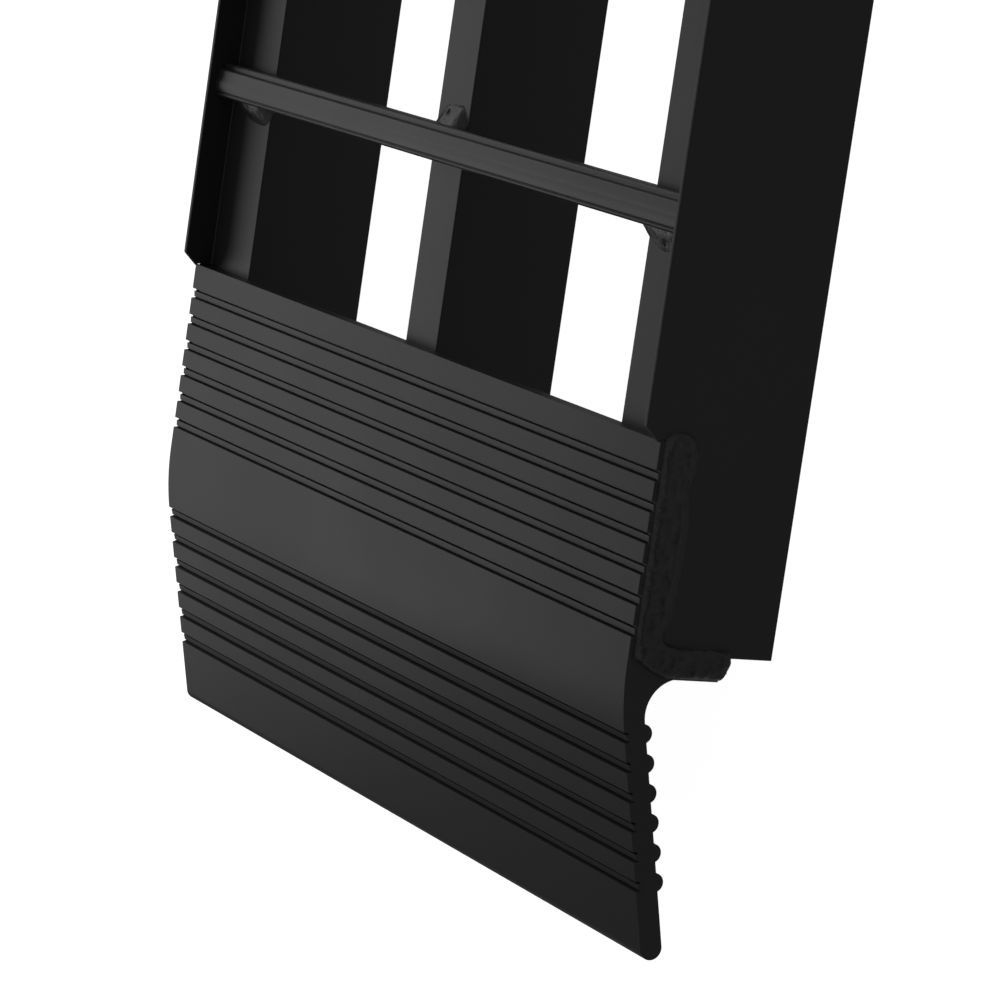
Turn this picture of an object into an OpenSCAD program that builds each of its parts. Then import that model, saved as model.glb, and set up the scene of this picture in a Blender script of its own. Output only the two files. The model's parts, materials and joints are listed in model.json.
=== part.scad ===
// Folding loading ramp: two welded ladder sections joined end to end by link-plate hinges.
// The ramp lies unfolded on its rails. X runs across it, Y along it and Z up. The origin is on
// the ground, midway along and across. The upper section is on the -Y side of the fold.

/* [Ramp] */
// Width over the two side rails
ramp_w = 300; // [280:1:340]
// Length of one section, from the fold to the tip of its end plate
section_len = 1143; // [1120:1:1200]

/* [Rails] */
// Width of a side rail's box
side_rail_w = 29.7; // [28:0.1:34]
// Height of every rail's box, which is the level the rungs rest on
rail_h = 38.1; // [36:0.1:42]
// Height of the raised outer wall of a side rail
wall_h = 47.2; // [46.5:0.1:52]
// Thickness of the raised outer wall
wall_t = 1.7; // [1.5:0.1:2.5]
// Thickness of the walls of every rail's box
tube_t = 2.5; // [2:0.1:3]
// Width of the centre rail's box
centre_rail_w = 19.5; // [18:0.1:24]

/* [End plate] */
// Thickness of the plate where it lies on the rails
plate_t = 4.5; // [4:0.1:6]
// Length of plate lying on the rails
plate_lap = 55.2; // [54:0.1:60]
// Thickness of the sloping lip
lip_t = 6.25; // [5:0.05:7]
// How far the lip's tip reaches past the rails' cut ends
lip_reach = 80.7; // [78:0.1:90]
// Slope of the lip below the plate
lip_angle = 14.25; // [12:0.25:16]
// Radius of the bend between the plate and the lip, on its top
bend_r = 81.4; // [70:0.1:90]
// Distance past the rails' cut ends at which the bend starts
bend_start = 2.2; // [1:0.1:4]
// Thickness of the flange that stands against the rails' cut ends
flange_t = 5.9; // [4:0.1:7]
// Height of the flange's lower edge
flange_low = 13.5; // [8:0.1:20]
// Radius of the fillet between the flange and the lip
fillet_r = 9.5; // [6:0.1:11]

/* [Grip ridges] */
// Grooves in each of the two groups
groove_count = 6; // [4:1:6]
// Distance from one groove to the next
groove_pitch = 8.08; // [7.8:0.01:8.2]
// Depth of a groove
groove_d = 1.55; // [1:0.05:1.8]
// Distance from the plate's inner edge to the middle of its first groove
groove_first = 8.95; // [7:0.05:10]
// Radius of the round beads under the lip
bead_r = 2.6; // [2.2:0.1:3]
// How far the beads stand out of the lip
bead_proud = 1.85; // [1.5:0.05:2]

/* [Rungs] */
// Rungs in each section
rung_count = 10; // [8:1:10]
// Distance from one rung to the next
rung_pitch = 101.6; // [95:0.1:101.6]
// Distance from the rails' cut ends to the middle of the first rung
rung_first = 112.4; // [100:0.1:115]
// Width of a rung along the ramp
rung_w = 10.2; // [10:0.1:12]

/* [Fold hinge] */
// Height of the hinge bolts above the ground
hinge_z = 17; // [16:0.5:19]
// Distance of each hinge bolt from the fold
hinge_y = 24; // [23:0.5:26]
// Thickness of a link plate
link_t = 4; // [3:0.5:5]
// Radius of a link plate's round ends
link_r = 14; // [13:0.5:14.5]
// Diameter of the hinge bolts
bolt_d = 10; // [8:1:10]

/* [Hidden] */
butt_gap = 0.25;
side_gap = 0.2;
face_gap = 0.1;
bolt_r = bolt_d / 2;
running_clearance = 0.05;
hole_clearance = 0.25;
hex_across_flats = 1.7 * bolt_d;
hex_r = hex_across_flats / 2 / cos(30);
head_t = 0.64 * bolt_d;
nut_hex_t = 0.75 * bolt_d;
nut_collar_t = 2;
nut_collar_r = 0.8 * bolt_d;
nut_t = nut_hex_t + nut_collar_t;
bolt_stub = 1.5;
washer_t = 2;
washer_r = bolt_d;
bush_r = bolt_r + 2;

half_w = ramp_w / 2;
cut_y = section_len - lip_reach;
plate_top = rail_h + plate_t;
side_inner_x = half_w - side_rail_w;
centre_half = centre_rail_w / 2;
channel_out = 1.27;
channel_in = 1.0;
channel_lean = 0.36;
land_half = 0.83;
land_shift = 0.16;
land_d = 0.7;
tip_r = lip_t / 2;
corner_r = 1.6;
weld_proud = 2.8;
rung_weld = 5.8;
rung_weld_h = 5.2;

// End of the bend on the plate's top, and the lip's direction and upward normal.
// Plate profiles are drawn with the first coordinate outward from the rails' cut ends.
bend_end = [bend_start + bend_r * sin(lip_angle), plate_top - bend_r * (1 - cos(lip_angle))];
lip_dir = [cos(lip_angle), -sin(lip_angle)];
lip_up = [sin(lip_angle), cos(lip_angle)];
under_start = bend_end - lip_t * lip_up;
tip_run = (lip_reach - tip_r - bend_end[0] + tip_r * lip_up[0]) / lip_dir[0];
tip_centre = bend_end + tip_run * lip_dir - tip_r * lip_up;

SECTIONS = ["upper", "lower"];
SIDES = ["left", "right"];
RUNGS = [for (s = SECTIONS, i = [1 : rung_count]) str(s, "_rung_", i)];
PER_SECTION = ["left_rail", "centre_rail", "right_rail", "end_plate", "rung_welds", "plate_welds",
    "hinge_bolts", "hinge_nuts", "hinge_washers", "spacer_bushes"];

// Height of the lip's flat underside at a distance u outward from the rails' cut ends.
function under_z(u) = under_start[1] - (u - under_start[0]) * tan(lip_angle);

// Points on an arc from one angle to another, in a number of equal steps.
function arc(centre, r, from, to, steps) =
    [for (k = [0 : steps])
        let (a = from + (to - from) * k / steps)
        centre + r * [cos(a), sin(a)]];

// Y of a place that is d inboard of the rails' cut ends, in a section's own frame.
function inboard(d) = cut_y - d;

// Extrudes a (Y, Z) profile across the ramp from x0 to x1.
module across(x0, x1) {
    translate([x0, 0, 0])
        rotate([90, 0, 90])
            linear_extrude(x1 - x0)
                children();
}

// A round bar along X between x0 and x1, on the hinge's axis.
module hinge_bar(x0, x1, r) {
    translate([x0, hinge_y, hinge_z])
        rotate([0, 90, 0])
            cylinder(h = x1 - x0, r = r, $fn = 64);
}

// A hexagon along X between x0 and x1, on the hinge's axis.
module hinge_hex(x0, x1) {
    translate([x0, hinge_y, hinge_z])
        rotate([0, 90, 0])
            cylinder(h = x1 - x0, r = hex_r, $fn = 6);
}

// A section's own frame has its end plate on the +Y side: the upper section is turned round.
module in_section(name) {
    rotate([0, 0, name == "upper" ? 180 : 0])
        children();
}

// ---- Rails ----

// Takes away the lower corner of a rail's hinge end, so that the ends roll past each other.
module hinge_end_cut(x0, x1) {
    difference() {
        translate([x0, -1, -1])
            cube([x1 - x0, hinge_y + 1, hinge_z + 1]);
        hinge_bar(x0 - 1, x1 + 1, hinge_y - butt_gap);
    }
}

// The raised wall stops short of the end plate, with a sloping end.
module wall_notch_profile() {
    notch = plate_lap + 0.3;
    over = plate_lap - 0.5;
    slope = wall_h - plate_top - 0.2;
    polygon([
        [inboard(notch), rail_h],
        [inboard(notch), plate_top + 0.2],
        [inboard(over), plate_top + 0.2],
        [inboard(over + 0.9 * slope), wall_h],
        [inboard(over + 0.9 * slope), wall_h + 1],
        [cut_y + 1, wall_h + 1],
        [cut_y + 1, rail_h]
    ]);
}

module side_rail() {
    outside = half_w;
    difference() {
        union() {
            translate([side_inner_x, butt_gap, 0])
                cube([side_rail_w, cut_y - butt_gap, rail_h]);
            translate([outside - wall_t, butt_gap, rail_h - 1])
                cube([wall_t, cut_y - butt_gap, wall_h - rail_h + 1]);
        }
        translate([side_inner_x + tube_t, -1, tube_t])
            cube([side_rail_w - 2 * tube_t, section_len, rail_h - 2 * tube_t]);
        across(outside - wall_t - 1, outside + 1)
            wall_notch_profile();
        hinge_end_cut(side_inner_x - 1, outside + 1);
        hinge_bar(side_inner_x - 1, outside + 1, bolt_r + hole_clearance);
    }
}

module centre_rail() {
    color("#2b2b2c")
        difference() {
            translate([-centre_half, butt_gap, 0])
                cube([centre_rail_w, cut_y - butt_gap, rail_h]);
            translate([tube_t - centre_half, -1, tube_t])
                cube([centre_rail_w - 2 * tube_t, section_len, rail_h - 2 * tube_t]);
            hinge_end_cut(-centre_half - 1, centre_half + 1);
            hinge_bar(-centre_half - 1, centre_half + 1, bolt_r + hole_clearance);
        }
}

// Left and right are the ramp's own, so they swap in the section that is turned round.
module side_rail_of(section, side) {
    mirrored = (side == "left") != (section == "upper");
    color("#2b2b2c")
        in_section(section)
            mirror([mirrored ? 1 : 0, 0, 0])
                side_rail();
}

// ---- End plate ----

// The plate, its bend, the round tip, the lip's underside with its fillet, and the flange.
module plate_body_profile() {
    fillet_u = flange_t + fillet_r;
    fillet_centre = [fillet_u, under_z(fillet_u) - fillet_r / cos(lip_angle)];
    corner_centre = [flange_t - corner_r, flange_low + corner_r];
    bend_centre = [bend_start, plate_top - bend_r];
    polygon(concat(
        [[-plate_lap, plate_top], [-plate_lap, rail_h], [0, rail_h], [0, flange_low]],
        arc(corner_centre, corner_r, -90, 0, 6),
        arc(fillet_centre, fillet_r, 180, 90 - lip_angle, 16),
        arc(tip_centre, tip_r, -90 - lip_angle, 90 - lip_angle, 20),
        arc(bend_centre, bend_r, 90 - lip_angle, 90, 12)
    ));
}

// One groove, with its middle at the origin and the plate's surface along the first axis: two
// narrow channels with a low land between them. Its outer sides run on above the surface.
module groove_profile() {
    polygon([
        [-channel_out, -groove_d],
        [land_shift - channel_in, -groove_d],
        [land_shift - land_half, -land_d],
        [land_shift + land_half, -land_d - 0.2],
        [land_shift + channel_in, -groove_d],
        [channel_out, -groove_d],
        [channel_out + channel_lean, 0.7],
        [-channel_out - channel_lean, 0.7]
    ]);
}

module plate_profile() {
    difference() {
        union() {
            plate_body_profile();
            for (i = [0 : groove_count - 1])
                translate(under_start + i * groove_pitch * lip_dir + (bead_r - bead_proud) * lip_up)
                    circle(r = bead_r, $fn = 48);
        }
        for (i = [0 : groove_count - 1]) {
            translate([groove_first - plate_lap + i * groove_pitch, plate_top])
                groove_profile();
            translate(bend_end + i * groove_pitch * lip_dir)
                rotate(-lip_angle)
                    groove_profile();
        }
    }
}

module end_plate() {
    color("#323233")
        across(-half_w, half_w)
            translate([cut_y, 0])
                plate_profile();
}

// ---- Rungs ----

// The rung's section, standing on the rails: a narrow rib on the side of the end plate, a broad
// crowned band with a raised ridge, and a lower strip at the back. Grooves part the three.
module rung_profile() {
    crest = 6.9;
    band = 6.2;
    strip = 4.3;
    translate([rung_w / 2, 0])
        mirror([1, 0])
            polygon([
                [0, 0], [0, 5.1], [0.35, 5.8], [0.7, band], [1.0, band],
                [1.15, 5.85], [1.35, 5.85],
                [1.7, band + 0.15], [3.1, crest], [4.6, crest], [5.7, band + 0.15],
                [8.1, band], [8.4, band - 0.4], [8.6, strip],
                [9.75, strip], [rung_w, strip - 0.5], [rung_w, 0]
            ]);
}

module rung(number) {
    reach = half_w - wall_t - face_gap;
    color("#363637")
        across(-reach, reach)
            translate([inboard(rung_first + (number - 1) * rung_pitch), rail_h])
                rung_profile();
}

// ---- Welds ----

// One fillet weld between a rung's face and the top of a rail, from x0 to x1.
module rung_fillet(x0, x1, face_y, outward) {
    across(x0, x1)
        translate([face_y, rail_h])
            polygon([[0, 0], [outward * rung_weld, 0], [0, rung_weld_h]]);
}

// The side rails are welded on the side of the end plate, the centre rail on the other side.
module rung_welds() {
    color("#303031")
        for (i = [0 : rung_count - 1]) {
            middle = inboard(rung_first + i * rung_pitch);
            face = middle + rung_w / 2;
            rung_fillet(side_inner_x + 1, half_w - 7, face, 1);
            rung_fillet(7 - half_w, -side_inner_x - 1, face, 1);
            rung_fillet(1 - centre_half, centre_half - 1, middle - rung_w / 2, -1);
        }
}

// The bead along the end of the plate and down beside the flange, on one outer face.
module plate_weld() {
    run = plate_lap + 1.5;
    rise = plate_top - 0.4;
    translate([half_w, inboard(run), 0])
        rotate([90, 0, 0])
            mirror([0, 0, 1])
                linear_extrude(run + 2)
                    polygon([
                        [0, rise - 13],
                        [0.8 * weld_proud, rise - 11],
                        [weld_proud, rise - 7],
                        [0.8 * weld_proud, rise - 2],
                        [0, rise]
                    ]);
    translate([half_w, cut_y, flange_low - 1])
        linear_extrude(rail_h - flange_low - 4)
            polygon([
                [0, -3.2],
                [0.85 * weld_proud, -1.6],
                [weld_proud, 1.5],
                [0.8 * weld_proud, 4.4],
                [0, 5.4]
            ]);
}

module plate_welds() {
    color("#262627") {
        plate_weld();
        mirror([1, 0, 0])
            plate_weld();
    }
}

// ---- Hinge ----

// A link plate between x0 and x1. It turns on one bolt in each section.
module link(x0) {
    color("#3a3a3c")
        difference() {
            union() {
                translate([x0, -hinge_y, hinge_z - link_r])
                    cube([link_t, 2 * hinge_y, 2 * link_r]);
                hinge_bar(x0, x0 + link_t, link_r);
                mirror([0, 1, 0])
                    hinge_bar(x0, x0 + link_t, link_r);
            }
            hinge_bar(x0 - 1, x0 + link_t + 1, bolt_r + running_clearance);
            mirror([0, 1, 0])
                hinge_bar(x0 - 1, x0 + link_t + 1, bolt_r + running_clearance);
        }
}

side_link_x = side_inner_x - side_gap - link_t;
centre_link_x = centre_half + side_gap;
side_clamp_x = side_link_x - face_gap;
centre_clamp_x = centre_link_x + link_t + face_gap;

module both_sides() {
    children();
    mirror([1, 0, 0])
        children();
}

module hinge_bolts() {
    color("#b9bbbe") {
        both_sides() {
            hinge_hex(half_w + washer_t, half_w + washer_t + head_t);
            hinge_bar(side_clamp_x - washer_t - nut_t - bolt_stub, half_w + washer_t + 0.5, bolt_r);
        }
        hinge_hex(-centre_clamp_x - washer_t - head_t, -centre_clamp_x - washer_t);
        hinge_bar(-centre_clamp_x - washer_t - 0.5, centre_clamp_x + washer_t + nut_t + bolt_stub, bolt_r);
    }
}

// A lock nut: a hexagon at x with a round collar beyond it, on the side that direction points to.
module lock_nut(x, direction) {
    difference() {
        union() {
            hinge_hex(min(x, x + direction * nut_hex_t), max(x, x + direction * nut_hex_t));
            hinge_bar(min(x, x + direction * nut_t), max(x, x + direction * nut_t), nut_collar_r);
        }
        hinge_bar(min(x, x + direction * nut_t) - 1, max(x, x + direction * nut_t) + 1,
            bolt_r + running_clearance);
    }
}

module hinge_nuts() {
    color("#b9bbbe") {
        both_sides()
            lock_nut(side_clamp_x - washer_t, -1);
        lock_nut(centre_clamp_x + washer_t, 1);
    }
}

// A ring on the hinge's axis from x0 to x1.
module ring(x0, x1, outer_r) {
    difference() {
        hinge_bar(x0, x1, outer_r);
        hinge_bar(x0 - 1, x1 + 1, bolt_r + hole_clearance);
    }
}

module hinge_washers() {
    color("#c4c6c8") {
        both_sides() {
            ring(half_w, half_w + washer_t, washer_r);
            ring(side_clamp_x - washer_t, side_clamp_x, washer_r);
            ring(centre_clamp_x, centre_clamp_x + washer_t, washer_r);
        }
    }
}

// Tubes on the bolts inside the rails, which keep the boxes from being crushed.
module spacer_bushes() {
    color("#a9abad") {
        both_sides()
            ring(side_inner_x + tube_t + face_gap, half_w - tube_t - face_gap, bush_r);
        ring(tube_t + face_gap - centre_half, centre_half - tube_t - face_gap, bush_r);
    }
}

// ---- Nodes ----

for (s = SECTIONS) {
    side_rail_of(s, "left");
    in_section(s) centre_rail();
    side_rail_of(s, "right");
    in_section(s) end_plate();
    in_section(s) rung_welds();
    in_section(s) plate_welds();
    in_section(s) hinge_bolts();
    in_section(s) hinge_nuts();
    in_section(s) hinge_washers();
    in_section(s) spacer_bushes();
    for (i = [1 : rung_count])
        in_section(s) rung(i);
}
link(-side_link_x - link_t);  // left_link
link(-centre_link_x - link_t);  // centre_left_link
link(centre_link_x);  // centre_right_link
link(side_link_x);  // right_link
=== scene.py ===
import itertools
import json
import math
import random
from collections import namedtuple

import bmesh
import bpy
from mathutils import Matrix, Vector, noise


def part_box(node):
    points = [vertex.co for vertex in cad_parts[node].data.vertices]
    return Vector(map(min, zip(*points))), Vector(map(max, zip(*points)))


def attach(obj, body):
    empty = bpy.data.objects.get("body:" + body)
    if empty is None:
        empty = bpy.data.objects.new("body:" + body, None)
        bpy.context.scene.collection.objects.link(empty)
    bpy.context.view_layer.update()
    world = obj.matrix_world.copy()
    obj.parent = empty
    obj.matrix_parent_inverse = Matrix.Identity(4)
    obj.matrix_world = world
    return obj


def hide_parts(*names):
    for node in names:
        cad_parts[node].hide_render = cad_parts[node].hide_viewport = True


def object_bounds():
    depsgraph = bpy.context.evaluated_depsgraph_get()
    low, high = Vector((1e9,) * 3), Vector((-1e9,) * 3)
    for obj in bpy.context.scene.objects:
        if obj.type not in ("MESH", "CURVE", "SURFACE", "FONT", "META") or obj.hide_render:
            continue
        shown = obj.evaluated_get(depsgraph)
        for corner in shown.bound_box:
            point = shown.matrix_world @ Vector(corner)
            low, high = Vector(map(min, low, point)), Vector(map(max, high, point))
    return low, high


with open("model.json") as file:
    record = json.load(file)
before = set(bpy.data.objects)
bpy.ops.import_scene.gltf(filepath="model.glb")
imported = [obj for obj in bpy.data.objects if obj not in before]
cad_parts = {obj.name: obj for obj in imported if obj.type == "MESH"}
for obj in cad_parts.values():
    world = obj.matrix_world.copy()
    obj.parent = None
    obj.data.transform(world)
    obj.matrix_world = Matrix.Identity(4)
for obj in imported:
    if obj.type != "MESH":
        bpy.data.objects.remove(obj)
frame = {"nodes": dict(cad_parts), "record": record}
cad_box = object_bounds()

# Everything is in metres unless a comment says mm. X runs across the ramp and Y along it, with the fold at 0.
MM = 0.001
SECTIONS = {"upper": -1, "lower": 1}  # the side of the fold, along Y, on which each section lies
RUNGS = 10  # on each section
RAIL_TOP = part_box("upper_rung_1")[0].z
RAIL_END = -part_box("upper_left_rail")[0].y  # the rails' cut ends, as a distance from the fold
SIDE_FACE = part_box("upper_right_rail")[1].x
SIDE_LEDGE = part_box("upper_right_rail")[0].x
CENTRE_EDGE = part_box("upper_centre_rail")[1].x
PLATE_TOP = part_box("upper_end_plate")[1].z


# ---------------------------------------------------------------- camera and stage

CAMERA_PLACE = Vector((1.2296, -0.8499, 0.6607))
CAMERA_RIGHT = Vector((0.44685, 0.14367, -0.88300))  # the way that the picture's right points
CAMERA_UP = Vector((-0.19200, 0.97942, 0.06220))
CAMERA_LENS = 177.84  # mm
CAMERA_SENSOR = 36  # mm

KEY_RADIANCE = 0.75
KEY_ASIDE = 0.496  # from the left rail to the softbox
KEY_PAST_UPPER_END, KEY_PAST_LOWER_END = 0.228, 0.3  # how far it reaches past the ramp
KEY_BOTTOM, KEY_TOP = 0.13, 0.53
GLINT_RADIANCE = 1.6
GLINT_ASIDE, GLINT_HEIGHT, GLINT_WIDTH = 0.55, 1.0, 0.06

WHITE = (1, 1, 1, 1)
FLOOR_HALF_SIZE = 60
PAPER_GLOW, PAPER_GREY = 0.97, 0.80  # what the camera sees of the floor: its own light and its shade's colour
FLOOR_GLOW = 0.165  # what the ramp sees of the floor
ROOM_GLOW = 0.055  # what it sees all round
END_GLOW, END_GLOW_RANGE = 0.22, (0.45, 0.80)  # added as a direction turns along the ramp: the share on Y
OVERHEAD_GLOW, OVERHEAD_GLOW_RANGE = 0.20, (0.78, 0.95)  # added as a direction turns up: the share on Z


def make_camera():
    """The photograph's view: a long lens, rolled so that the ramp runs up the picture."""
    data = bpy.data.cameras.new("camera")
    data.lens = CAMERA_LENS
    data.sensor_width = CAMERA_SENSOR
    data.clip_end = 100
    camera = bpy.data.objects.new("camera", data)
    bpy.context.scene.collection.objects.link(camera)
    back = CAMERA_RIGHT.cross(CAMERA_UP)
    turn = Matrix((CAMERA_RIGHT, CAMERA_UP, back)).transposed()
    camera.matrix_world = Matrix.Translation(CAMERA_PLACE) @ turn.to_4x4()
    bpy.context.scene.camera = camera


def floor_material():
    """White paper to the camera, and a dark studio floor to the ramp, which keeps its sides black."""
    tree = Nodes(bpy.data.materials.new("studio_floor"))
    seen = tree.add("ShaderNodeEmission", Color=WHITE, Strength=PAPER_GLOW)
    shaded = tree.add("ShaderNodeBsdfDiffuse", Color=(PAPER_GREY, PAPER_GREY, PAPER_GREY, 1))
    paper = tree.add("ShaderNodeAddShader")
    tree.link(seen, "Emission", paper, 0)
    tree.link(shaded, "BSDF", paper, 1)
    around = tree.add("ShaderNodeEmission", Color=WHITE, Strength=FLOOR_GLOW)
    tree.output(tree.camera_choice(around, "Emission", paper, "Shader"), "Shader")
    return tree.owner


def lowest_point_markers():
    """Empties on the corners of what swings, so that the floor can stay under a folded ramp."""
    carried = {"lower_section": ("lower_left_rail", "lower_right_rail", "lower_end_plate"),
               "hinge_links": ("left_link", "right_link")}
    markers = []
    for body, nodes in carried.items():
        for node in nodes:
            low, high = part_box(node)
            for corner in itertools.product(*zip(low, high)):
                marker = bpy.data.objects.new(f"corner_{len(markers)}", None)
                bpy.context.scene.collection.objects.link(marker)
                marker.location = corner
                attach(marker, body)
                markers.append(marker)
    return markers


def make_floor():
    """A wide plane at Z 0, which the markers push down when a folded section swings lower."""
    mesh = bpy.data.meshes.new("floor")
    corners = [(x * FLOOR_HALF_SIZE, y * FLOOR_HALF_SIZE, 0) for x, y in ((-1, -1), (1, -1), (1, 1), (-1, 1))]
    mesh.from_pydata(corners, [], [(0, 1, 2, 3)])
    mesh.materials.append(floor_material())
    floor = bpy.data.objects.new("floor", mesh)
    bpy.context.scene.collection.objects.link(floor)
    for marker in lowest_point_markers():
        under = floor.constraints.new("FLOOR")
        under.target = marker
        under.floor_location = "FLOOR_NEGATIVE_Z"


def make_world():
    """White to the camera. The ramp sees a dim room, a little brighter beyond its ends and overhead."""
    world = bpy.data.worlds.new("studio")
    bpy.context.scene.world = world
    tree = Nodes(world)
    parts = tree.add("ShaderNodeSeparateXYZ")
    tree.link(tree.place, "Generated", parts, "Vector")
    along = tree.combine("ABSOLUTE", (parts, "Y"))
    beyond_ends = tree.spread(along, "Value", 0, END_GLOW, *END_GLOW_RANGE)
    overhead = tree.spread(parts, "Z", 0, OVERHEAD_GLOW, *OVERHEAD_GLOW_RANGE)
    both = tree.combine("ADD", (beyond_ends, "Result"), (overhead, "Result"))
    total = tree.combine("ADD", (both, "Value"))
    total.inputs[1].default_value = ROOM_GLOW
    fill = tree.add("ShaderNodeBackground", Color=WHITE)
    tree.link(total, "Value", fill, "Strength")
    seen = tree.add("ShaderNodeBackground", Color=WHITE, Strength=1.0)
    choice = tree.camera_choice(fill, "Background", seen, "Background")
    tree.output(choice, "Shader", "ShaderNodeOutputWorld")


def softbox(name, place, target, size, radiance):
    """A rectangular light, width by height, that gives the same radiance whatever its size."""
    data = bpy.data.lights.new(name, "AREA")
    data.shape = "RECTANGLE"
    data.size, data.size_y = size
    data.energy = radiance * math.pi * size[0] * size[1]
    light = bpy.data.objects.new(name, data)
    bpy.context.scene.collection.objects.link(light)
    light.location = place
    light.rotation_euler = (Vector(target) - Vector(place)).to_track_quat("-Z", "Y").to_euler()
    light.visible_camera = False


def make_lights():
    """A long, low softbox beside the left rail. The top faces mirror it, and its end falls on the lip.

    A thin strip high on the right glints on edges and rough weld metal only.
    """
    low, high = cad_box
    start, end = low.y - KEY_PAST_UPPER_END, high.y + KEY_PAST_LOWER_END
    middle = Vector((low.x - KEY_ASIDE, (start + end) / 2, (KEY_BOTTOM + KEY_TOP) / 2))
    key_size = (end - start, KEY_TOP - KEY_BOTTOM)
    softbox("side_key", middle, middle + Vector((1, 0, 0)), key_size, KEY_RADIANCE)
    above = Vector((high.x + GLINT_ASIDE, 0, GLINT_HEIGHT))
    softbox("glint_strip", above, (high.x, 0, 0), (end - start, GLINT_WIDTH), GLINT_RADIANCE)


# ---------------------------------------------------------------- materials

class Nodes:
    """A small helper for building the node tree of a material or of the world. Noise scales are per metre."""

    def __init__(self, owner):
        self.owner = owner
        owner.use_nodes = True
        self.tree = owner.node_tree
        self.tree.nodes.clear()
        self.place = self.add("ShaderNodeTexCoord")

    def add(self, kind, **values):
        """A new node. Each value goes to the input of that name or, where there is none, to the setting."""
        node = self.tree.nodes.new(kind)
        for key, value in values.items():
            if key in node.inputs:
                node.inputs[key].default_value = value
            else:
                setattr(node, key, value)
        return node

    def link(self, source, output, target, socket):
        self.tree.links.new(source.outputs[output], target.inputs[socket])

    def noise(self, scale, detail=2.0, roughness=0.5):
        node = self.add("ShaderNodeTexNoise", Scale=scale, Detail=detail, Roughness=roughness)
        self.link(self.place, "Object", node, "Vector")
        return node

    def spread(self, source, output, low, high, start=0.3, end=0.7):
        """Maps a texture's values from start-end to low-high."""
        node = self.add("ShaderNodeMapRange")
        for key, value in zip(("From Min", "From Max", "To Min", "To Max"), (start, end, low, high)):
            node.inputs[key].default_value = value
        self.link(source, output, node, "Value")
        return node

    def combine(self, operation, *sources):
        """A math node whose inputs come from one or two (node, output) pairs."""
        node = self.add("ShaderNodeMath", operation=operation)
        for socket, (source, output) in enumerate(sources):
            self.link(source, output, node, socket)
        return node

    def shades(self, source, output, dark, light, start=0.3, end=0.7):
        """Maps a texture's values from start-end to the colours from dark to light."""
        node = self.add("ShaderNodeValToRGB")
        node.color_ramp.elements[0].position = start
        node.color_ramp.elements[1].position = end
        node.color_ramp.elements[0].color = (*dark, 1)
        node.color_ramp.elements[1].color = (*light, 1)
        self.link(source, output, node, "Fac")
        return node

    def bump(self, source, output, distance, below=None):
        """A bump of that height, on top of the bump below."""
        node = self.add("ShaderNodeBump", Strength=1.0, Distance=distance)
        self.link(source, output, node, "Height")
        if below:
            self.link(below, "Normal", node, "Normal")
        return node

    def camera_choice(self, unseen, unseen_output, seen, seen_output):
        """One shader for the ramp's reflections and the light, and another for what the camera sees."""
        ray = self.add("ShaderNodeLightPath")
        choice = self.add("ShaderNodeMixShader")
        self.link(ray, "Is Camera Ray", choice, "Fac")
        self.link(unseen, unseen_output, choice, 1)
        self.link(seen, seen_output, choice, 2)
        return choice

    def output(self, shader, output, kind="ShaderNodeOutputMaterial"):
        self.link(shader, output, self.add(kind), "Surface")


SPATTER_ALONG = (RAIL_END - 75 * MM, RAIL_END - 5 * MM)  # from none to the most
SPATTER_UP = (2 * MM, 30 * MM)  # from the most to none


def near_cut_end(tree):
    """A mask for the spatter on a rail, thickest at the lower corner of its cut end."""
    parts = tree.add("ShaderNodeSeparateXYZ")
    tree.link(tree.place, "Object", parts, "Vector")
    along = tree.combine("ABSOLUTE", (parts, "Y"))
    end = tree.spread(along, "Value", 0, 1, *SPATTER_ALONG)
    low = tree.spread(parts, "Z", 1, 0, *SPATTER_UP)
    return tree.combine("MULTIPLY", (end, "Result"), (low, "Result"))


def near_black(value):
    """A dark grey with a trace of blue."""
    return value, value, value + 0.0005


def powder_coat(name, dark, light, rough, peel_depth, grit_depth=0.0, spatter=False):
    """Satin black powder coat: orange peel, a fine grain, and patches that dried a little glossier.

    The patches go from dark to light and over the two values of rough. Depths are in mm.
    """
    tree = Nodes(bpy.data.materials.new(name))
    patches = tree.noise(scale=9, detail=4)
    grain = tree.noise(scale=2600, detail=2)
    peel = tree.noise(scale=620, detail=1)
    swell = tree.noise(scale=150, detail=2)
    shader = tree.add("ShaderNodeBsdfPrincipled")
    colour = tree.shades(patches, "Fac", near_black(dark), near_black(light))
    tree.link(colour, "Color", shader, "Base Color")
    tree.link(tree.spread(patches, "Fac", *rough), "Result", shader, "Roughness")
    soft = tree.bump(swell, "Fac", 0.02 * MM)
    skin = tree.bump(peel, "Fac", peel_depth * MM, below=soft)
    fine = tree.bump(grain, "Fac", 0.004 * MM, below=skin)
    if grit_depth:
        grit = tree.noise(scale=1500, detail=3, roughness=0.7)
        fine = tree.bump(grit, "Fac", grit_depth * MM, below=fine)
    if spatter:
        specks = tree.noise(scale=2200, detail=1)
        kept = tree.combine("MULTIPLY", (specks, "Fac"), (near_cut_end(tree), "Value"))
        fine = tree.bump(kept, "Value", 0.22 * MM, below=fine)
    tree.link(fine, "Normal", shader, "Normal")
    tree.output(shader, "BSDF")
    return tree.owner


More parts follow.
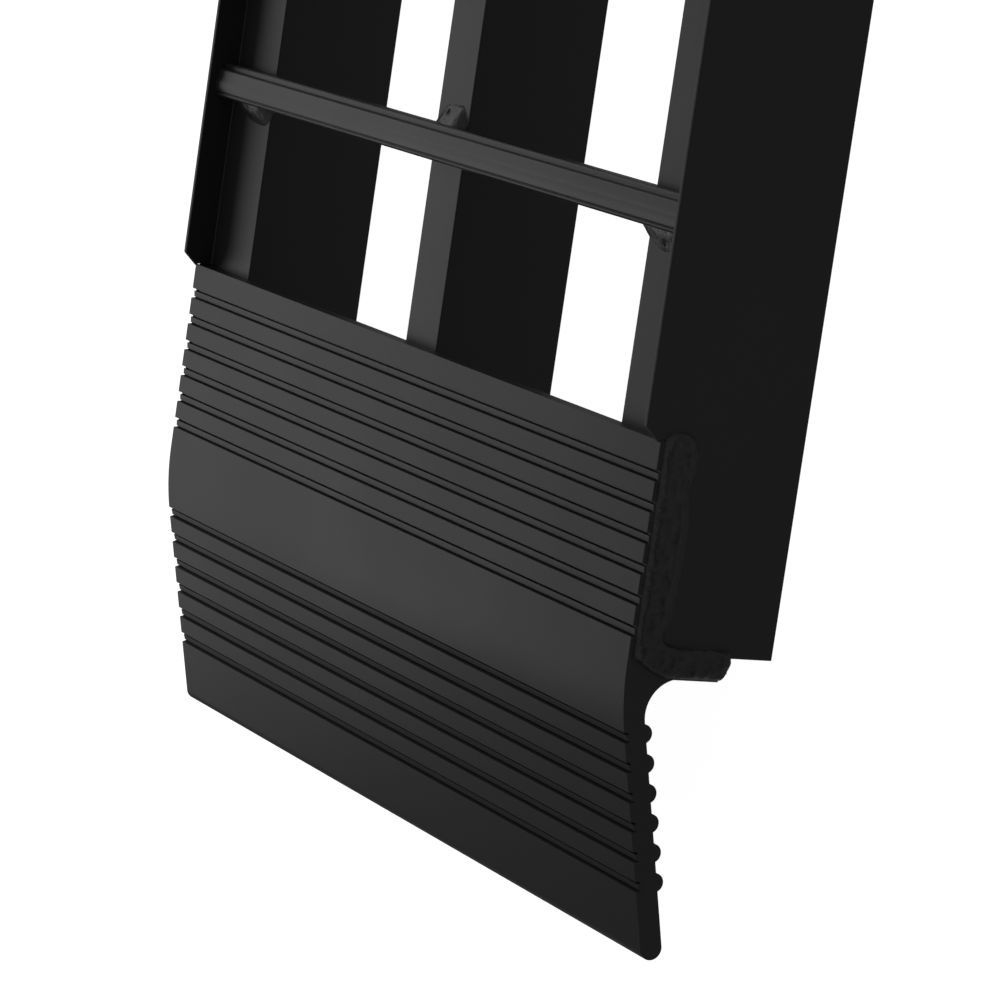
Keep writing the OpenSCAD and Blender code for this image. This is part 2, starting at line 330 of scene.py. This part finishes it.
def zinc_plate(name):
    """Bright zinc on turned steel, with faint swirls and dull patches."""
    tree = Nodes(bpy.data.materials.new(name))
    patches = tree.noise(scale=60, detail=4)
    swirl = tree.noise(scale=900, detail=2)
    shader = tree.add("ShaderNodeBsdfPrincipled", Metallic=1.0)
    colour = tree.shades(patches, "Fac", (0.46, 0.47, 0.49), (0.66, 0.67, 0.68))
    tree.link(colour, "Color", shader, "Base Color")
    tree.link(tree.spread(patches, "Fac", 0.24, 0.42), "Result", shader, "Roughness")
    tree.link(tree.bump(swirl, "Fac", 0.01 * MM), "Normal", shader, "Normal")
    tree.output(shader, "BSDF")
    return tree.owner


def make_materials():
    """One material to each material slot of the record."""
    return {
        "rail": powder_coat("rail_coat", 0.017, 0.024, (0.36, 0.44), 0.010, spatter=True),
        "plate": powder_coat("plate_coat", 0.019, 0.026, (0.38, 0.46), 0.014),
        "rung": powder_coat("rung_coat", 0.020, 0.028, (0.34, 0.42), 0.010),
        "weld": powder_coat("weld_coat", 0.020, 0.034, (0.16, 0.32), 0.035, grit_depth=0.15),
        "link": powder_coat("link_coat", 0.016, 0.024, (0.34, 0.44), 0.012),
        "zinc_steel": zinc_plate("zinc_plate"),
        "bush_steel": zinc_plate("drawn_tube"),
    }


# ---------------------------------------------------------------- carried-over CAD nodes

# by material slot, in mm
EDGE_RADIUS = {"rail": 0.35, "plate": 0.12, "rung": 0.15, "link": 0.5, "zinc_steel": 0.35, "bush_steel": 0.3}


def round_edges(node, radius):
    """Rounds a CAD node's edges with modifiers, which leave its mesh as it is."""
    weld = node.modifiers.new("join_faces", "WELD")
    weld.merge_threshold = 1e-6
    bevel = node.modifiers.new("round_edges", "BEVEL")
    bevel.width = radius * MM
    bevel.segments = 3
    bevel.limit_method = "ANGLE"
    bevel.angle_limit = math.radians(24)
    bevel.use_clamp_overlap = True
    bevel.miter_outer = "MITER_ARC"
    shade = node.modifiers.new("face_normals", "WEIGHTED_NORMAL")
    shade.keep_sharp = False
    shade.weight = 80


def dress_cad_nodes(materials):
    """Gives every CAD node its slot's material, and rounds the edges of all but the welds."""
    for part in frame["record"]["subparts"]:
        node, slot = frame["nodes"][part["node"]], part["material_slot"]
        for place in node.material_slots:
            place.material = materials[slot]
        if slot in EDGE_RADIUS:
            round_edges(node, EDGE_RADIUS[slot])


# ---------------------------------------------------------------- weld beads

def smooth_mesh(name, points, faces, material):
    """A smooth-shaded mesh whose faces all look outward."""
    mesh = bpy.data.meshes.new(name)
    shell = bmesh.new()
    made = [shell.verts.new(p) for p in points]
    for face in faces:
        shell.faces.new([made[i] for i in face])
    bmesh.ops.recalc_face_normals(shell, faces=shell.faces)
    for face in shell.faces:
        face.smooth = True
    shell.to_mesh(mesh)
    shell.free()
    mesh.materials.append(material)
    return mesh


def join_skin(points, faces, more_points, more_faces):
    """Adds one closed skin to the lists of points and faces."""
    base = len(points)
    points += more_points
    faces += [tuple(base + i for i in face) for face in more_faces]


def add_beads(section, kind, points, faces, material):
    """Adds one section's rung beads or plate beads, in place of the CAD's plain welds."""
    mesh = smooth_mesh(f"{section}_{kind}_weld_beads", points, faces, material)
    beads = bpy.data.objects.new(mesh.name, mesh)
    bpy.context.scene.collection.objects.link(beads)
    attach(beads, f"{section}_section")
    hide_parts(f"{section}_{kind}_welds")


# A rung's bead runs from start to end along X on the upper section. It climbs the rung's face by rise, widens
# over the share opening of its run and narrows over the share closing. Only the first rung has pinholes.
RungBead = namedtuple("RungBead", "start end on_plate_side rise opening closing pinhole_at")
RUNG_BEADS = (
    RungBead(start=2.0 * MM - SIDE_FACE, end=1.7 * MM - SIDE_LEDGE, on_plate_side=True,
             rise=3.8 * MM, opening=0.7, closing=0.22, pinhole_at=None),
    RungBead(start=SIDE_LEDGE - 5.7 * MM, end=SIDE_FACE - 8.5 * MM, on_plate_side=True,
             rise=2.7 * MM, opening=0.58, closing=0.20, pinhole_at=16.2 * MM),
    RungBead(start=-0.6 * MM - CENTRE_EDGE, end=CENTRE_EDGE - 0.2 * MM, on_plate_side=False,
             rise=2.5 * MM, opening=0.45, closing=0.25, pinhole_at=9.3 * MM),
)
RUNG_BEAD_LEG = 6.1 * MM
RUNG_RIPPLE, RUNG_LUMP = 1.9 * MM, 3.2 * MM  # the run of one ripple and of one lump
PINHOLE_RADIUS, PINHOLE_OUT = 0.7 * MM, 0.56  # the hole's place on the leg, as a share of it


def grown(share):
    """Eases from 0 at share 0 to 1 at share 1, and stays there."""
    return math.sin(math.pi / 2 * min(max(share, 0.004), 1))


def rung_bead(shape, leg, seed, pinhole):
    """A low fillet bead with its leg on the rail and its rise up the rung's face.

    A pinhole is given as (along, out). Returns points as (along, out, up), and faces.
    """
    length, rise = shape.end - shape.start, shape.rise
    step, around = 0.45 * MM, 15
    runs = round(length / step)
    sunk = 0.25 * MM
    points, faces = [], []
    for i in range(runs + 1):
        share = i / runs
        swell = grown(share / shape.opening) * grown((1 - share) / shape.closing) ** 0.6
        along = share * length
        ring = [(along, -sunk, -sunk), (along, leg * swell, -sunk)]
        for k in range(around + 1):
            angle = math.pi / 2 * k / around
            chord = 1 / (math.cos(angle) / leg + math.sin(angle) / rise)
            lag = 0.7 * math.sin(2 * angle)
            ripple = 0.012 * math.cos(2 * math.pi * (along / RUNG_RIPPLE - lag))
            lump = 0.08 * noise.noise(Vector((along / RUNG_LUMP, angle * 1.6, seed)))
            reach = chord * swell * (1 + 0.10 * math.sin(2 * angle) + ripple + lump)
            out, up = reach * math.cos(angle), reach * math.sin(angle)
            if pinhole:
                off = math.hypot(along - pinhole[0], out - pinhole[1]) / PINHOLE_RADIUS
                up += (0.14 * math.exp(-((off - 1.35) * 3) ** 2) - 1.1 * math.exp(-off ** 4)) * MM
            ring.append((along, out, up))
        ring.append((along, -sunk, rise * swell))
        size = len(ring)
        points += ring
        if i:
            a, b = (i - 1) * size, i * size
            faces += [(a + k, a + (k + 1) % size, b + (k + 1) % size, b + k) for k in range(size)]
    faces += [tuple(range(size)), tuple(reversed(range(runs * size, (runs + 1) * size)))]
    return points, faces


def rung_weld_set(section, material):
    """Three beads to each rung: both side rails on the plate's side, and the centre rail behind."""
    toward_plate = SECTIONS[section]
    turn = -toward_plate  # the lower section is the upper one turned half round
    chance = random.Random(7)
    points, faces = [], []
    for number in range(1, RUNGS + 1):
        low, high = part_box(f"{section}_rung_{number}")
        for shape in RUNG_BEADS:
            out = toward_plate if shape.on_plate_side else -toward_plate
            face_y = (high if out > 0 else low).y
            leg = RUNG_BEAD_LEG * chance.uniform(0.93, 1.03)
            has_pinhole = number == 1 and shape.pinhole_at
            pinhole = (shape.pinhole_at, PINHOLE_OUT * leg) if has_pinhole else None
            made, quads = rung_bead(shape, leg, chance.uniform(0, 50), pinhole)
            placed = [(turn * (shape.start + along), face_y + out * reach, RAIL_TOP + up)
                      for along, reach, up in made]
            join_skin(points, faces, placed, quads)
    add_beads(section, "rung", points, faces, material)


# The plate's beads, in mm: y runs inboard from the rails' cut ends and z up from the ground.
BEAD_STEP = 0.45
BEAD_EDGE = PLATE_TOP / MM - 1.5  # the beads' upper edge, just under the plate's top
BEAD_SUNK = 0.45  # how far a bead's rim lies in the rail's face
SEAM_HEIGHT, FLANGE_BEAD_HEIGHT = 1.6, 2.5
SEAM_FOOT = 30.7
FACET_SLOPE, FACET_TOP = 0.56, 34.0  # the seam's lower flank, flat and smooth
CRATER_Y, CRATER_Z, CRATER_RADIUS = 53.0, 36.6, 5.0  # where the seam ends inboard
FLANGE_FOOT = 12.9
FLANGE_TIP, FLANGE_INBOARD = -5.8, 2.3  # the flange bead's two edges low down, in y
PLATE_BEAD_SEEDS = {-1: 3.0, 1: 11.0}  # by side
GRID_Y, GRID_Z = (-6.4, 59.0), (12.2, PLATE_TOP / MM - 1.2)  # a little wider than the beads


def capped(distance, steepness, height):
    """A flank that climbs as a quarter round from a bead's edge, and levels off at its height."""
    if distance < 0:
        return distance
    return height * math.sqrt(1 - (1 - min(distance * steepness / height, 1)) ** 2)


def seam_height(y, z):
    """The bead along the plate's end."""
    # The foot rises a little toward the inboard end, and more where it meets the flange's bead.
    foot = SEAM_FOOT + 1.4 * math.exp(-((y - 43) / 5) ** 2) + 3.4 * math.exp(-y / 8)
    facet = min(FACET_SLOPE * (z - foot), SEAM_HEIGHT)
    upper = capped(BEAD_EDGE - z, 0.9, SEAM_HEIGHT)
    start = capped(y - 0.5, 0.8, SEAM_HEIGHT)
    from_rim = CRATER_RADIUS - math.hypot(y - CRATER_Y, z - CRATER_Z)
    crater = capped(from_rim, 1.0, SEAM_HEIGHT) if y > CRATER_Y else SEAM_HEIGHT
    return min(facet, upper, crater, start)


def flange_height(y, z):
    """The rough bead round the joint of the flange and the rail's end."""
    height = FLANGE_BEAD_HEIGHT
    # Near the plate both edges run inboard, and at the foot the corner toward the lip is rounded off.
    inboard_edge = FLANGE_INBOARD + 1.6 * min(max((z - 29) / 5, 0), 1)
    tip_edge = FLANGE_TIP + 4.8 * min(max((z - 31) / 10, 0), 1) ** 1.6
    foot = FLANGE_FOOT + 0.12 * max(0, -y - 1.5) ** 2.1
    return min(capped(inboard_edge - y, 0.9, height), capped(y - tip_edge, 1.3, height),
               capped(z - foot, 1.2, height), capped(BEAD_EDGE - z, 1.1, height))


def crater_swirl(y, z):
    """The last rings of a seam, round a dimple."""
    ring = math.hypot(y - CRATER_Y, z - CRATER_Z)
    rings = 0.16 * math.cos(2 * math.pi * ring / 2.6) * math.exp(-(ring / 4.5) ** 2)
    return rings - 0.5 * math.exp(-(ring / 1.3) ** 2)


def bead_height(y, z, seed):
    """The height over the rail's outer face, with ripples, lumps and dents. Below 0 there is no bead."""
    seam, flange = seam_height(y, z), flange_height(y, z)
    height = max(seam, flange)
    if height <= 0:
        return height
    if min(seam, flange) > 0:
        height += 0.15 * min(seam, flange)
    share = min(1, height)
    place = Vector((y, z, seed))
    rough_side = 1.0 if flange > seam else 0.45
    bow = ((z - 36.5) / 4.5) ** 2
    ripple = 0.09 * math.cos(2 * math.pi * (y / 2.4 + 0.7 * bow)) * (1 - rough_side)
    lumps = 0.7 * noise.noise(place / 4.6)
    dents = 0.55 * noise.noise(place / 1.9 + Vector((5, 0, 9)))
    rough = 0.34 * noise.noise(place / 0.85) * rough_side
    on_facet = 0.15 if seam > flange and z < FACET_TOP else 1
    return height + share * (ripple + (lumps + dents) * on_facet + rough + crater_swirl(y, z))


def plate_bead(side, toward_plate, seed):
    """One bead on an outer face, as a closed skin over a grid. Its flat back lies inside the rail."""
    (y_low, y_high), (z_low, z_high) = GRID_Y, GRID_Z
    columns, rows = round((y_high - y_low) / BEAD_STEP), round((z_high - z_low) / BEAD_STEP)
    height = {}
    for i in range(columns + 1):
        for k in range(rows + 1):
            y, z = y_low + i * BEAD_STEP, z_low + k * BEAD_STEP
            height[i, k] = max(bead_height(y, z, seed), -BEAD_SUNK)
    cells = [(i, k) for i in range(columns) for k in range(rows)
             if max(height[i, k], height[i + 1, k], height[i, k + 1], height[i + 1, k + 1]) > -BEAD_SUNK]
    points, faces, index = [], [], {}

    def vertex(i, k, back):
        if (i, k, back) not in index:
            index[i, k, back] = len(points)
            lift = -BEAD_SUNK - 0.4 if back else height[i, k]
            y = toward_plate * (RAIL_END - (y_low + i * BEAD_STEP) * MM)
            points.append((side * (SIDE_FACE + lift * MM), y, (z_low + k * BEAD_STEP) * MM))
        return index[i, k, back]

    known = set(cells)
    for i, k in cells:
        corners = [(i, k), (i + 1, k), (i + 1, k + 1), (i, k + 1)]
        faces.append(tuple(vertex(*c, False) for c in corners))
        faces.append(tuple(vertex(*c, True) for c in reversed(corners)))
        beside = {(i, k - 1): (0, 1), (i + 1, k): (1, 2), (i, k + 1): (2, 3), (i - 1, k): (3, 0)}
        for cell, (a, b) in beside.items():
            if cell not in known:
                faces.append((vertex(*corners[b], False), vertex(*corners[a], False),
                              vertex(*corners[a], True), vertex(*corners[b], True)))
    return points, faces


def plate_weld_set(section, material):
    """The beads at both ends of the plate, on the side rails' outer faces."""
    points, faces = [], []
    for side, seed in PLATE_BEAD_SEEDS.items():
        join_skin(points, faces, *plate_bead(side, SECTIONS[section], seed))
    add_beads(section, "plate", points, faces, material)


# ---------------------------------------------------------------- main

make_camera()
make_floor()
make_world()
make_lights()
materials = make_materials()
dress_cad_nodes(materials)
for section in SECTIONS:
    rung_weld_set(section, materials["weld"])
    plate_weld_set(section, materials["weld"])
bpy.context.scene.view_settings.view_transform = "Standard"
